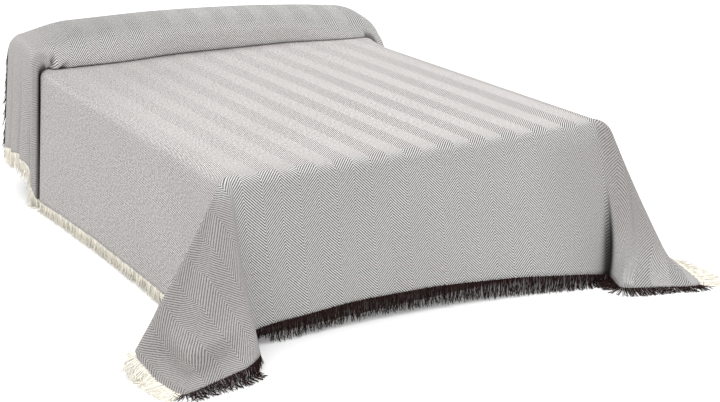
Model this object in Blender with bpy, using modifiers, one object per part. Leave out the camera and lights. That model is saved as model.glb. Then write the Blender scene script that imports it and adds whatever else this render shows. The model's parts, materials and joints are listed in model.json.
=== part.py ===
"""A woven bedspread with fringed hems, lying over a double bed and its bolster.

Metres, +Z up. The origin is on the floor under the middle of the bed, and the foot of the bed
faces -Y. The cloth is worked out as it was cut, flat: "across" runs from side hem to side hem,
"along" from the foot hem to the head hem. From the flat top of the bed it falls in straight
lines, one for each row of its threads, to a hem whose place on the plan is given in tables.
"""

import math
import random
from collections import namedtuple

import bmesh
import bpy
from mathutils import Vector

BED_WIDTH = 1.50
BED_LENGTH = 2.00
BED_TOP = 0.55
BASE_HEIGHT = 0.28
BED_CORNER = 0.055
BED_EDGE = 0.045
GAP = 0.0003
REST_GAP = 0.0005
SIDE_CLEARANCE = 0.005

CLOTH_WIDTH = 2.48
FOOT_DROP = 0.49
CLOTH_THICK = 0.0025
CLOTH_BEND = 0.035
TOE_BEND = 0.06
EAR_SWING = 1.4
FLAT_HALF = BED_WIDTH / 2 - CLOTH_BEND
FOOT_LINE = -BED_LENGTH / 2 + CLOTH_BEND

# the tuck under the bolster, and the bolster's oval section
TUCK_FRONT = 0.745
TUCK_DEEP = 0.800
BOLSTER_MIDDLE = 0.900
BOLSTER_REACH = 0.152
BOLSTER_RISE = 0.0705
BOLSTER_CROWN = 0.20
BOLSTER_HIGHEST = -0.18
CROWN_HALF = 0.70
WRAP_FROM = math.radians(-30)
WRAP_TO = math.radians(158)
WRAP_STEPS = 10
BOLSTER_FLAT = {-1: 0.68, 1: 0.78}
BOLSTER_BEND = 0.12
BOLSTER_LENGTH = 1.63
BOLSTER_SHIFT = 0.05
BOLSTER_INSET = 0.006
BOLSTER_SLACK = 0.011

# the right edge of the top is drawn out a little where it meets the bolster
RIGHT_SPREAD = 0.06
SPREAD_FROM = 0.42

# where the front, deep and back lines of the tuck meet the side hems
TUCK_HEM = 1.555
DEEP_HEM = 1.650
RIDGE_HEM = 1.745

# stations in the flat cloth
LONG_STEPS = 22
CROSS_STEPS = 20
FALL_STOPS = (0.0, 0.035, 0.07, 0.11, 0.42, 0.72, 0.87, 1.0)
BOLSTER_STOPS = (0.0, 0.08, 0.16, 0.24, 0.33, 0.55, 0.80, 1.0)
EAR_SIDE_STOPS = (-0.09, -0.17, -0.22, -0.26, -0.32, -0.40)
EAR_FOOT_STOPS = (0.10, 0.18, 0.24, 0.29, 0.34, 0.43)

FRINGE_GAP = 0.001
STRIP_WIDTH = 0.006
LOCKS_PER_STEP = 2
LOCK_SHARE = 0.66
LOCK_TAPER = 0.55
LOCK_ROOM = 1.25
SIDE_FRINGE = 0.055
END_FRINGE = 0.075
LOCK_SWAY = 0.0015
LOCK_SEED = 7
SHORTEST_LOCK = 0.92
KNEE_REACH = 0.35
STRIP_END = 0.012
HEAD_DRAPE = (0.45, 0.85)

# Places the hem passes on the plan. "cloth" is measured along the hem as cut: from the foot line
# towards the head in the side tables, and from the middle of the bed in the foot table. "lift" is
# the height over the floor, "toe" the length that lies out on it, and "soft" the length of hem
# over which the bend at that place is rounded.
HemPlace = namedtuple("HemPlace", "cloth x y lift toe soft")

LEFT_SIDE = (
    HemPlace(-0.490, -1.045, -1.290, 0.0006, 0.08, 0.02),
    HemPlace(-0.250, -1.080, -1.025, 0.065, 0.00, 0.05),
    HemPlace(0.000, -0.812, -0.955, 0.046, 0.00, 0.05),
    HemPlace(0.120, -0.798, -0.845, 0.048, 0.00, 0.10),
    HemPlace(0.450, -0.792, -0.515, 0.048, 0.00, 0.20),
    HemPlace(0.940, -0.805, -0.025, 0.050, 0.00, 0.20),
    HemPlace(1.330, -0.830, 0.365, 0.050, 0.00, 0.10),
    HemPlace(1.555, -0.848, 0.590, 0.052, 0.00, 0.03),
    HemPlace(1.650, -0.785, 0.625, 0.058, 0.00, 0.02),
    HemPlace(1.745, -0.864, 0.665, 0.065, 0.00, 0.03),
    HemPlace(1.810, -0.868, 0.725, 0.095, 0.00, 0.05),
    HemPlace(1.900, -0.845, 0.800, 0.155, 0.00, 0.08),
    HemPlace(2.190, -0.830, 1.095, 0.165, 0.00, 0.05),
)
RIGHT_SIDE = (
    HemPlace(-0.490, 0.950, -1.385, 0.0006, 0.08, 0.02),
    HemPlace(-0.240, 1.030, -1.150, 0.060, 0.00, 0.05),
    HemPlace(0.000, 0.822, -0.960, 0.046, 0.00, 0.05),
    HemPlace(0.120, 0.805, -0.845, 0.048, 0.00, 0.10),
    HemPlace(0.600, 0.795, -0.365, 0.048, 0.00, 0.20),
    HemPlace(1.250, 0.840, 0.285, 0.050, 0.00, 0.10),
    HemPlace(1.555, 0.895, 0.590, 0.075, 0.00, 0.03),
    HemPlace(1.650, 0.840, 0.630, 0.080, 0.00, 0.02),
    HemPlace(1.745, 0.930, 0.665, 0.090, 0.00, 0.03),
    HemPlace(1.810, 0.955, 0.725, 0.135, 0.00, 0.05),
    HemPlace(1.900, 0.950, 0.810, 0.195, 0.00, 0.08),
    HemPlace(2.190, 0.925, 1.095, 0.205, 0.00, 0.05),
)
FOOT = (
    HemPlace(-1.240, -1.045, -1.290, 0.0006, 0.08, 0.02),
    HemPlace(-0.950, -0.742, -1.258, 0.050, 0.00, 0.08),
    HemPlace(-0.715, -0.690, -1.045, 0.058, 0.00, 0.05),
    HemPlace(-0.600, -0.590, -1.055, 0.068, 0.00, 0.10),
    HemPlace(-0.300, -0.300, -1.045, 0.080, 0.00, 0.20),
    HemPlace(0.050, 0.045, -1.066, 0.080, 0.00, 0.20),
    HemPlace(0.350, 0.340, -1.125, 0.068, 0.00, 0.20),
    HemPlace(0.700, 0.665, -1.205, 0.045, 0.00, 0.06),
    HemPlace(0.800, 0.690, -1.260, 0.045, 0.00, 0.05),
    HemPlace(0.930, 0.684, -1.325, 0.010, 0.04, 0.06),
    HemPlace(1.240, 0.950, -1.385, 0.0006, 0.08, 0.02),
)

# colours as linear values: red, green, blue
CLOTH_COLOUR = (0.50, 0.48, 0.47)
CREAM = (0.72, 0.66, 0.54)
DARK_BROWN = (0.030, 0.020, 0.020)
TICKING = (0.75, 0.74, 0.71)
BASE_CLOTH = (0.30, 0.29, 0.28)


def between(low, high, share):
    return low + (high - low) * share


def spaced(low, high, steps):
    return [between(low, high, i / steps) for i in range(steps + 1)]


def on_rows(rows, cloth):
    """The place on a hem table at a distance along the cloth, with straight stretches."""
    for first, last in zip(rows, rows[1:]):
        if cloth <= last.cloth or last is rows[-1]:
            share = (cloth - first.cloth) / (last.cloth - first.cloth)
            share = min(max(share, 0.0), 1.0)
            return HemPlace(*(between(a, b, share) for a, b in zip(first, last)))


def hem_place(rows, cloth, samples=9):
    """The same place with the bends rounded: the mean over the soft length around it."""
    soft = on_rows(rows, cloth).soft
    reach = min(soft, cloth - rows[0].cloth, rows[-1].cloth - cloth)
    spots = [on_rows(rows, cloth + reach * (2 * i / (samples - 1) - 1)) for i in range(samples)]
    return HemPlace(*(sum(column) / samples for column in zip(*spots)))


def oval(angle):
    """A point of the cloth on the bolster's section, from its front over its top."""
    y = BOLSTER_MIDDLE - BOLSTER_REACH * math.cos(angle)
    z = BED_TOP + BOLSTER_RISE * (1 + math.sin(angle))
    return y, z


def crown(x):
    """How much fuller than at its ends the bolster is at a place along it."""
    return 1 + BOLSTER_CROWN * (1 - ((x - BOLSTER_HIGHEST) / CROWN_HALF) ** 2)


def long_stations():
    """Rows across the top: the cloth's way from the foot line, y, z, and where the row's fall
    meets the side hem. The last value is how far the row has come over onto the bolster."""
    rows = []
    for y in spaced(FOOT_LINE, TUCK_FRONT, LONG_STEPS):
        cloth = y - FOOT_LINE
        rows.append((cloth, y, BED_TOP, cloth * TUCK_HEM / (TUCK_FRONT - FOOT_LINE), 0.0))
    rows.append((TUCK_DEEP - FOOT_LINE, TUCK_DEEP, BED_TOP, DEEP_HEM, 0.0))
    spots = [oval(angle) for angle in spaced(WRAP_FROM, WRAP_TO, WRAP_STEPS)]
    for step, (y, z) in enumerate(spots):
        cloth = rows[-1][0] + math.hypot(y - rows[-1][1], z - rows[-1][2])
        rows.append((cloth, y, z, 0.0, min(1.0, (step + 1) / 3)))
    ridge, end = rows[-len(spots)][0], rows[-1][0]
    for i in range(len(rows) - len(spots), len(rows)):
        cloth, y, z, _, over = rows[i]
        rows[i] = (cloth, y, z, between(RIDGE_HEM, end, (cloth - ridge) / (end - ridge)), over)
    return rows


def flat_half(side, y, over):
    """Half the width that lies level, at one side of a row across the top."""
    spread = min(max((y - SPREAD_FROM) / (TUCK_FRONT - SPREAD_FROM), 0.0), 1.0)
    bed = FLAT_HALF + (RIGHT_SPREAD * spread * spread if side > 0 else 0.0)
    return between(bed, BOLSTER_FLAT[side], over)


def top_line(row):
    """One row across the top, crowned where it lies on the bolster."""
    _, y, z, _, over = row
    line = []
    for share in spaced(0.0, 1.0, CROSS_STEPS):
        x = between(-flat_half(-1, y, over), flat_half(1, y, over), share)
        line.append(Vector((x, y, BED_TOP + (z - BED_TOP) * crown(x))))
    return line


def fall(start, out, hem, bend, stops=FALL_STOPS, swing=1.0):
    """One fall of cloth: over the edge, down a slope, and out along a toe. A swing over 1 leaves
    more of its way along the edge for the lower part."""
    flat = Vector((hem.x - start.x, hem.y - start.y, 0.0))
    shift = flat - out * flat.dot(out)
    toe_bend = min(TOE_BEND, hem.toe)
    both = bend + toe_bend
    reach = flat.dot(out) - hem.toe
    drop = start.z - hem.lift
    slope = math.atan2(drop - both, reach) + math.asin(both / math.hypot(reach, drop - both))
    straight = (drop - both * (1 - math.cos(slope))) / math.sin(slope)
    lengths = (bend * slope, straight, toe_bend * slope, hem.toe)
    points = []
    for stop in stops:
        left = stop * sum(lengths)
        parts = []
        for length in lengths:
            parts.append(min(left, length))
            left = max(0.0, left - length)
        turn = parts[0] / bend
        away = bend * math.sin(turn) + parts[1] * math.cos(slope) + parts[3]
        down = bend * (1 - math.cos(turn)) + parts[1] * math.sin(slope)
        if parts[2] > 0:
            back = slope - parts[2] / toe_bend
            away += toe_bend * (math.sin(slope) - math.sin(back))
            down += toe_bend * (math.cos(back) - math.cos(slope))
        along = (sum(parts[1:]) / sum(lengths[1:])) ** swing
        points.append(start + out * away + shift * along - Vector((0, 0, down)))
    return points


def side_falls(top, rows, side, table):
    """The falls of one long side, from the foot line to the head hem."""
    falls = []
    out = Vector((side, 0, 0))
    for line, (_, _, _, meets, over) in zip(top, rows):
        start = line[0] if side < 0 else line[-1]
        bend = between(CLOTH_BEND, BOLSTER_BEND, over)
        stops = [between(a, b, over) for a, b in zip(FALL_STOPS, BOLSTER_STOPS)]
        falls.append(fall(start, out, hem_place(table, meets), bend, stops))
    return falls


def ear_falls(corner, side, table):
    """The falls of a corner's ear, which fan out from the corner, from the side to the foot."""
    places = [hem_place(table, stop) for stop in (*EAR_SIDE_STOPS, -FOOT_DROP)]
    places += [hem_place(FOOT, side * (FLAT_HALF + stop)) for stop in EAR_FOOT_STOPS[::-1]]
    falls = []
    for i, place in enumerate(places):
        turn = math.pi / 2 * (i + 1) / (len(places) + 1)
        out = Vector((side * math.cos(turn), -math.sin(turn), 0.0))
        falls.append(fall(corner, out, place, CLOTH_BEND, swing=EAR_SWING))
    return falls


def cloth_net():
    """The rows of the top, and the falls around it from the left head to the right head."""
    rows = long_stations()
    top = [top_line(row) for row in rows]
    left = side_falls(top, rows, -1, LEFT_SIDE)
    right = side_falls(top, rows, 1, RIGHT_SIDE)
    foot = [fall(p, Vector((0, -1, 0)), hem_place(FOOT, p.x), CLOTH_BEND) for p in top[0]]
    left_ear = ear_falls(top[0][0], -1, LEFT_SIDE)
    right_ear = ear_falls(top[0][-1], 1, RIGHT_SIDE)
    falls = left[::-1] + left_ear + foot + right_ear[::-1] + right
    return top, falls


def new_material(name, colour, roughness):
    material = bpy.data.materials.new(name)
    material.use_nodes = True
    shader = material.node_tree.nodes["Principled BSDF"]
    shader.inputs["Base Color"].default_value = (*colour, 1.0)
    shader.inputs["Roughness"].default_value = roughness
    shader.inputs["Metallic"].default_value = 0.0
    return material


def new_object(name, shape, material, collection):
    """An object from a bmesh, shaded smooth but for its sharp edges."""
    mesh = bpy.data.meshes.new(name)
    shape.to_mesh(mesh)
    shape.free()
    mesh.shade_smooth()
    mesh.set_sharp_from_angle(angle=math.radians(40))
    mesh.materials.append(material)
    item = bpy.data.objects.new(name, mesh)
    collection.objects.link(item)
    return item


def make_bedspread(top, falls, material, collection):
    """The cloth's under face as one open surface, given its thickness outwards."""
    shape = bmesh.new()
    grid = [[shape.verts.new(point) for point in line] for line in top]
    for near, far in zip(grid, grid[1:]):
        for i in range(CROSS_STEPS):
            shape.faces.new((near[i], near[i + 1], far[i + 1], far[i]))
    ear = len(EAR_SIDE_STOPS) + 1 + len(EAR_FOOT_STOPS)
    heads = [line[0] for line in grid[::-1]] + [grid[0][0]] * ear
    heads += grid[0] + [grid[0][-1]] * ear + [line[-1] for line in grid]
    lines = []
    for head, points in zip(heads, falls):
        lines.append([head] + [shape.verts.new(point) for point in points[1:]])
    for here, there in zip(lines, lines[1:]):
        if here[0] is not there[0]:
            shape.faces.new((here[0], here[1], there[1], there[0]))
        else:
            shape.faces.new((here[0], here[1], there[1]))
        for k in range(1, len(here) - 1):
            shape.faces.new((here[k], here[k + 1], there[k + 1], there[k]))
    item = new_object("bedspread", shape, material, collection)
    thickness = item.modifiers.new("thickness", "SOLIDIFY")
    thickness.thickness = CLOTH_THICK
    thickness.offset = 1.0
    thickness.use_even_offset = False
    return item


def hem_frames(edge, inner):
    """For each point of a hem: the point, the way out of the cloth, and the cloth's outer side."""
    frames = []
    for i, (point, back) in enumerate(zip(edge, inner)):
        along = edge[min(i + 1, len(edge) - 1)] - edge[max(i - 1, 0)]
        along.normalize()
        out = point - back
        out -= along * out.dot(along)
        out.normalize()
        frames.append((point, out, out.cross(along)))
    for end, beside in ((0, 1), (-1, -2)):
        share = STRIP_END / (edge[beside] - edge[end]).length
        frames[end] = (edge[end].lerp(edge[beside], share), *frames[end][1:])
    return frames


def lock_points(root, out, length, floor):
    """The knee and the tip of one lock: hanging, or down to the floor and out along it."""
    side = Vector((out.x, out.y, 0.0))
    side = side.normalized() if side.length > 1e-6 else Vector((0, -1, 0))
    if root.z - floor > length:
        return None, Vector((root.x, root.y, root.z - length)) + side * 0.1 * length
    knee = Vector((root.x, root.y, floor)) + side * KNEE_REACH * (root.z - floor)
    return knee, knee + side * (length - (root.z - floor))


def make_fringe(name, frames, length, material, collection, rng, drape=None):
    """A narrow strip beside the hem, with locks drawn out of its outer face."""
    shape = bmesh.new()
    cuts = [0.0]
    for step in range(LOCKS_PER_STEP):
        cuts += [(step + LOCK_SHARE) / LOCKS_PER_STEP, (step + 1) / LOCKS_PER_STEP]
    stations = []
    for (p, out, up), (q, out_next, up_next) in zip(frames, frames[1:]):
        for cut in cuts[:-1]:
            stations.append((p.lerp(q, cut), out.lerp(out_next, cut), up.lerp(up_next, cut)))
    stations.append(frames[-1])
    rings = []
    last = None
    for point, out, up in stations:
        near = point + out * FRINGE_GAP
        far = near + out * STRIP_WIDTH
        corners = (near, near + up * CLOTH_THICK, far + up * CLOTH_THICK, far)
        for corner in corners:
            corner.z = max(corner.z, GAP)
        rings.append([shape.verts.new(corner) for corner in corners])
    shape.faces.new(rings[0][::-1])
    shape.faces.new(rings[-1])
    for i, (here, there) in enumerate(zip(rings, rings[1:])):
        for k in (0, 1, 3):
            n = (k + 1) % 4
            shape.faces.new((here[k], here[n], there[n], there[k]))
        middle = (here[2].co + here[3].co + there[2].co + there[3].co) / 4
        out = (stations[i][1] + stations[i + 1][1]).normalized()
        size = length * rng.uniform(SHORTEST_LOCK, 1.0)
        if drape:
            knee = None
            tip = middle + (out * drape[0] + Vector((0, 0, -drape[1]))) * size
        else:
            knee, tip = lock_points(middle, out, size, GAP)
        wide = there[3].co - here[3].co
        if i % 2 or (last and (tip - last).dot(wide) < LOCK_ROOM * wide.length_squared):
            shape.faces.new((here[2], here[3], there[3], there[2]))
        else:
            draw_lock(shape, (here[2], here[3], there[3], there[2]), knee, tip, rng)
            last = tip
    return new_object(name, shape, material, collection)


def draw_lock(shape, root, knee, tip, rng):
    """One lock of four sides from the strip's outer face, drawn in to a thin edge at its tip."""
    sway = Vector((rng.uniform(-1, 1), rng.uniform(-1, 1), 0.0)) * LOCK_SWAY
    half = (root[2].co - root[1].co) / 2
    rim = root
    if knee:
        half.z = 0.0
        lift = Vector((0, 0, CLOTH_THICK))
        spots = (knee - half + lift, knee - half, knee + half, knee + half + lift)
        rim = [shape.verts.new(spot) for spot in spots]
        for k in range(4):
            n = (k + 1) % 4
            shape.faces.new((root[k], root[n], rim[n], rim[k]))
    ends = []
    for sign in (-1, 1):
        spot = tip + sway + half * LOCK_TAPER * sign
        spot.z = max(spot.z, GAP)
        ends.append(shape.verts.new(spot))
    shape.faces.new((rim[0], rim[1], ends[0]))
    shape.faces.new((rim[1], rim[2], ends[1], ends[0]))
    shape.faces.new((rim[2], rim[3], ends[1]))
    shape.faces.new((rim[3], rim[0], ends[0], ends[1]))


def make_fringes(top, falls, dark, cream, collection):
    rng = random.Random(LOCK_SEED)
    rows = len(top)
    ear = len(EAR_SIDE_STOPS) + 1 + len(EAR_FOOT_STOPS)
    left_tip = rows + len(EAR_SIDE_STOPS)
    right_tip = rows + ear + CROSS_STEPS + 1 + len(EAR_FOOT_STOPS)
    hem = [points[-1] for points in falls]
    inner = [points[-2] for points in falls]
    frames = hem_frames(hem[:left_tip + 1], inner[:left_tip + 1])
    make_fringe("fringe_left", frames, SIDE_FRINGE, cream, collection, rng)
    frames = hem_frames(hem[left_tip:right_tip + 1], inner[left_tip:right_tip + 1])
    make_fringe("fringe_foot", frames, END_FRINGE, dark, collection, rng)
    frames = hem_frames(hem[right_tip:], inner[right_tip:])
    make_fringe("fringe_right", frames, SIDE_FRINGE, cream, collection, rng)
    edge = falls[-1][::-1] + top[-1][-2:0:-1] + falls[0]
    inner = falls[-2][::-1] + top[-2][-2:0:-1] + falls[1]
    frames = hem_frames(edge, inner)
    make_fringe("fringe_head", frames, END_FRINGE, dark, collection, rng, HEAD_DRAPE)


def make_block(name, size, middle, corner, edge, material, collection):
    """A block with round upright corners and softly rounded top and bottom edges."""
    shape = bmesh.new()
    bmesh.ops.create_cube(shape, size=1.0)
    bmesh.ops.scale(shape, vec=size, verts=shape.verts)
    bmesh.ops.translate(shape, vec=middle, verts=shape.verts)
    upright = [e for e in shape.edges if abs(e.verts[0].co.z - e.verts[1].co.z) > size[2] / 2]
    bmesh.ops.bevel(shape, geom=upright, offset=corner, segments=4, profile=0.5, affect="EDGES")
    if edge:
        level = [e for e in shape.edges if abs(e.verts[0].co.z - e.verts[1].co.z) < size[2] / 2]
        bmesh.ops.bevel(shape, geom=level, offset=edge, segments=3, profile=0.5, affect="EDGES")
    return new_object(name, shape, material, collection)


def make_bolster(material, collection, turns=20, rings=12, fullness=0.5):
    """A filled long pillow of oval section, with full rounded ends."""
    shape = bmesh.new()
    bmesh.ops.create_uvsphere(shape, u_segments=turns, v_segments=rings, radius=1.0)
    reach = BOLSTER_REACH - BOLSTER_SLACK
    rise = BOLSTER_RISE - BOLSTER_INSET
    rest = BED_TOP - REST_GAP + GAP
    for vert in shape.verts:
        axial = vert.co.z
        round_part = math.hypot(vert.co.x, vert.co.y)
        full = math.pow(round_part, fullness) if round_part > 1e-6 else 0.0
        scale = full / round_part if round_part > 1e-6 else 0.0
        far = math.copysign(math.pow(abs(axial), fullness), axial) if abs(axial) > 1e-6 else 0.0
        x = BOLSTER_SHIFT + far * BOLSTER_LENGTH / 2
        height = (1 + vert.co.y * scale) * rise * crown(x)
        vert.co = Vector((x, BOLSTER_MIDDLE + vert.co.x * scale * reach, rest + height))
    return new_object("bolster", shape, material, collection)


def main():
    for item in list(bpy.data.objects):
        bpy.data.objects.remove(item, do_unlink=True)
    collection = bpy.data.collections.new("bedspread_on_bed")
    bpy.context.scene.collection.children.link(collection)
    cloth = new_material("woven_cloth", CLOTH_COLOUR, 0.9)
    cream = new_material("cream_yarn", CREAM, 0.9)
    dark = new_material("dark_yarn", DARK_BROWN, 0.9)
    ticking = new_material("ticking", TICKING, 0.85)
    base_cloth = new_material("base_cloth", BASE_CLOTH, 0.85)

    top, falls = cloth_net()
    make_bedspread(top, falls, cloth, collection)
    make_fringes(top, falls, dark, cream, collection)

    mattress_top = BED_TOP - REST_GAP
    thick = mattress_top - BASE_HEIGHT - GAP
    size = (BED_WIDTH - 2 * SIDE_CLEARANCE, BED_LENGTH - 2 * SIDE_CLEARANCE, thick)
    middle = (0.0, 0.0, mattress_top - thick / 2)
    make_block("mattress", size, middle, BED_CORNER, BED_EDGE, ticking, collection)
    size = (BED_WIDTH - 6 * SIDE_CLEARANCE, BED_LENGTH - 6 * SIDE_CLEARANCE, BASE_HEIGHT)
    middle = (0.0, 0.0, BASE_HEIGHT / 2)
    make_block("bed_base", size, middle, BED_CORNER, 0.0, base_cloth, collection)
    make_bolster(ticking, collection)


main()
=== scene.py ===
import json
import math
import random
from collections import namedtuple

import bpy
from mathutils import Matrix, Vector, noise

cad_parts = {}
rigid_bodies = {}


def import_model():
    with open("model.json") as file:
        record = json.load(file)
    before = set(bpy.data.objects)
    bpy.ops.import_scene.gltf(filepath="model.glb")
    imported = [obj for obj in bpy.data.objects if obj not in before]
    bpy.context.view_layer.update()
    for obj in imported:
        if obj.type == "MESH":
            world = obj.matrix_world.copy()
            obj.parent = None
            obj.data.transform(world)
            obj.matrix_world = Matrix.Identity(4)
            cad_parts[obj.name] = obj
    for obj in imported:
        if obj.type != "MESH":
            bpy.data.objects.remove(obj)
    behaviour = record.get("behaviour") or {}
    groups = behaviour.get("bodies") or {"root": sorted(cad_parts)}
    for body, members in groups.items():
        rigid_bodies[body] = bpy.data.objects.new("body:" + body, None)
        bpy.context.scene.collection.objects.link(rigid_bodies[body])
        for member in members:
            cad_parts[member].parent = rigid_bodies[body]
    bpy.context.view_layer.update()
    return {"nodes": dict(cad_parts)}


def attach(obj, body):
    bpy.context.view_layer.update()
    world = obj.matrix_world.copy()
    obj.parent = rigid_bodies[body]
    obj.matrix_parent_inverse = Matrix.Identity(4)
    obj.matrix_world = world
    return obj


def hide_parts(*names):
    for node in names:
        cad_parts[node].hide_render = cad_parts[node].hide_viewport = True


for leftOver in list(bpy.data.objects):
    bpy.data.objects.remove(leftOver)
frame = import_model()
print("frame loaded")

# the bed the cloth lies on, and the way it turns over the edges, in metres
bed = {
    "width": 1.50, "length": 2.00, "top": 0.55, "baseHeight": 0.28,
    "sideClear": 0.005, "restGap": 0.0005, "corner": 0.055, "edge": 0.045,
}
cloth = {
    "width": 2.48, "footDrop": 0.49, "thickness": 0.0025, "bend": 0.035, "kneeCut": 0.12,
    "toeFall": 0.28, "alongRows": 80, "acrossRows": 150, "wrapRows": 34, "fallStops": 40,
    "sideWave": 0.004, "footWave": 0.005, "topLift": 0.0006, "bolsterWave": 0.003,
}
# the spare cloth that flares out at the foot's two corners: -1 is the left ear, 1 the right one
ears = {
    "falls": 48, "swing": {-1: 1.4, 1: 2.2}, "turn": {-1: 1.0, 1: 1.5},
    "bend": {-1: 0.035, 1: 0.085}, "wave": {-1: 0.003, 1: 0.010}, "foldSwing": 3.6,
    "bulge": 0.045, "bulgePlace": -0.79, "bulgeHalf": 0.10, "bulgeLean": 0.85,
    "flareFrom": -0.12, "flareTo": -0.745, "shortFrom": -0.765, "short": 0.5,
    "restHigh": 0.010, "restOut": 0.012, "restShade": 0.30,
    # how much painted shade the ears take: in all, low down, where the left ear turns to the foot, and on the
    # foot by the right ear
    "tone": {-1: 1.0, 1: 0.78}, "lowEarShade": {-1: 0.72, 1: 0.55}, "turnedEarShade": 0.55, "joinEarShade": 0.5,
}
tuck = {
    "front": 0.745, "deep": 0.790, "frontHem": 1.555, "deepHem": 1.650, "ridgeHem": 1.745,
    "wrapFrom": -68, "wrapRidge": -30, "wrapTo": 158, "lowerFront": 0.12,
    "forward": 0.062, "forwardFrom": 0.36, "forwardTo": 0.74, "rowsFrom": 0.40, "rowsHigh": 0.12,
    "leftForward": 0.046, "leftFrom": -0.10, "leftReach": 0.35, "leftEnd": -0.728, "leftEndReach": 0.040,
}
# painted shade at the tuck: how deep in a crease the cloth counts there, and in the pleats and folds beside
# it, which darkens the weave's colour
tuckShade = {
    "from": 0.772, "reach": 0.012, "high": 0.014, "highReach": 0.011, "depth": 0.55,
    "leftDepth": 0.90, "leftFrom": -0.45, "leftReach": 0.15,
    "dropStart": 0.62, "dropDepth": {-1: 1.0, 1: 0.62}, "dropFolds": 38,
}
# small folds that spread over the bolster from the tuck's left end, with painted shade in their hollows
gathers = {"x": -0.712, "turns": 4, "near": 0.055, "reach": 0.038, "high": 0.006, "shade": 0.8}
bolster = {
    "middle": 0.900, "reach": 0.152, "rise": 0.0705, "crown": 0.20, "highest": -0.18,
    "crownHalf": 0.70, "shoulder": -0.56, "shoulderReach": 0.20, "shoulderFall": 0.25,
    "flat": {-1: 0.735, 1: 0.745}, "bend": {-1: 0.048, 1: 0.18},
    "inset": 0.007, "slack": 0.012, "endInset": 0.004, "endTurn": 88, "endLeast": 0.03,
    "restGap": 0.0002, "pleats": 9, "pleatDepth": 0.05,
}
rightEdge = {"wider": 0.035, "bend": 0.028, "spread": 0.045, "from": 0.42}
flatHalf = bed["width"] / 2 - cloth["bend"]
footLine = -bed["length"] / 2 + cloth["bend"]
hemCorner = -cloth["footDrop"]

# Places of the hem on the plan, from beyond the middle of the foot round a corner to the head:
# distance along the hem, where the fall there comes down, its height, how far the hem lies out from
# that on the floor, and the length over which the turn there is rounded. The side begins at 0, the
# cloth's corner is at -0.49.
hemPlace = namedtuple("hemPlace", "along x y lift toeX toeY soft")
leftHem = [hemPlace(*row) for row in (
    (-2.080, 0.340, -1.125, 0.068, 0, 0, 0.20),
    (-1.730, 0.000, -1.063, 0.080, 0, 0, 0.20),
    (-1.430, -0.300, -1.045, 0.080, 0, 0, 0.20),
    (-1.130, -0.590, -1.055, 0.068, 0, 0, 0.10),
    (-1.015, -0.690, -1.045, 0.058, 0, 0, 0.05),
    (-0.780, -0.738, -1.252, 0.048, 0, 0, 0.08),
    (-0.490, -0.962, -1.192, 0.0006, -0.062, -0.080, 0.07),
    (-0.370, -1.008, -1.085, 0.0006, -0.032, -0.040, 0.05),
    (-0.250, -1.080, -1.025, 0.065, 0, 0, 0.035),
    (0.000, -0.812, -0.955, 0.046, 0, 0, 0.05),
    (0.120, -0.798, -0.845, 0.048, 0, 0, 0.10),
    (0.450, -0.792, -0.515, 0.048, 0, 0, 0.20),
    (0.940, -0.805, -0.025, 0.050, 0, 0, 0.20),
    (1.330, -0.826, 0.365, 0.048, 0, 0, 0.10),
    (1.555, -0.834, 0.590, 0.040, 0, 0, 0.012),
    (1.650, -0.765, 0.612, 0.042, 0, 0, 0.012),
    (1.745, -0.832, 0.630, 0.032, 0, 0, 0.012),
    (1.785, -0.838, 0.662, 0.075, 0, 0, 0.02),
    (1.835, -0.840, 0.698, 0.170, 0, 0, 0.02),
    (1.890, -0.845, 0.770, 0.188, 0, 0, 0.03),
    (2.010, -0.842, 0.900, 0.180, 0, 0, 0.05),
    (2.190, -0.820, 1.080, 0.150, 0, 0, 0.05),
)]
rightHem = [hemPlace(*row) for row in (
    (-2.030, -0.300, -1.045, 0.080, 0, 0, 0.20),
    (-1.730, 0.000, -1.063, 0.080, 0, 0, 0.20),
    (-1.380, 0.340, -1.125, 0.068, 0, 0, 0.20),
    (-1.120, 0.590, -1.182, 0.048, 0, 0, 0.08),
    (-0.960, 0.705, -1.160, 0.022, 0, 0, 0.02),
    (-0.780, 0.674, -1.270, 0.010, 0, 0, 0.03),
    (-0.490, 0.900, -1.292, 0.0006, 0.072, -0.097, 0.08),
    (-0.250, 1.000, -1.145, 0.035, 0, 0, 0.04),
    (0.000, 0.822, -0.960, 0.046, 0, 0, 0.05),
    (0.120, 0.805, -0.845, 0.048, 0, 0, 0.10),
    (0.600, 0.795, -0.365, 0.048, 0, 0, 0.20),
    (1.250, 0.840, 0.285, 0.050, 0, 0, 0.10),
    (1.555, 0.895, 0.590, 0.075, 0, 0, 0.012),
    (1.650, 0.830, 0.618, 0.080, 0, 0, 0.012),
    (1.745, 0.935, 0.645, 0.090, 0, 0, 0.015),
    (1.810, 0.980, 0.725, 0.135, 0, 0, 0.05),
    (1.900, 0.990, 0.810, 0.195, 0, 0, 0.08),
    (2.190, 0.965, 1.095, 0.205, 0, 0, 0.05),
)]
# soft folds that run down the cloth's fall from the bolster, with painted shade in their hollows:
# distance along the hem, half width, height
dropFolds = (
    (1.785, 0.012, 0.005), (1.825, 0.014, -0.007), (1.875, 0.018, 0.012), (1.935, 0.020, -0.008),
    (1.995, 0.020, 0.011), (2.080, 0.024, -0.007),
)


def between(low, high, share):
    return low + (high - low) * share


def spaced(low, high, steps):
    return [between(low, high, i / steps) for i in range(steps + 1)]


def smooth(share):
    share = min(max(share, 0.0), 1.0)
    return share * share * (3 - 2 * share)


# a smooth rise round a middle, from 0 up to 1
def mound(place, middle, half):
    return math.exp(-((place - middle) / half) ** 2)


def straightPlace(rows, along):
    for first, last in zip(rows, rows[1:]):
        if along <= last.along or last is rows[-1]:
            share = min(max((along - first.along) / (last.along - first.along), 0.0), 1.0)
            return hemPlace(*(between(a, b, share) for a, b in zip(first, last)))


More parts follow.
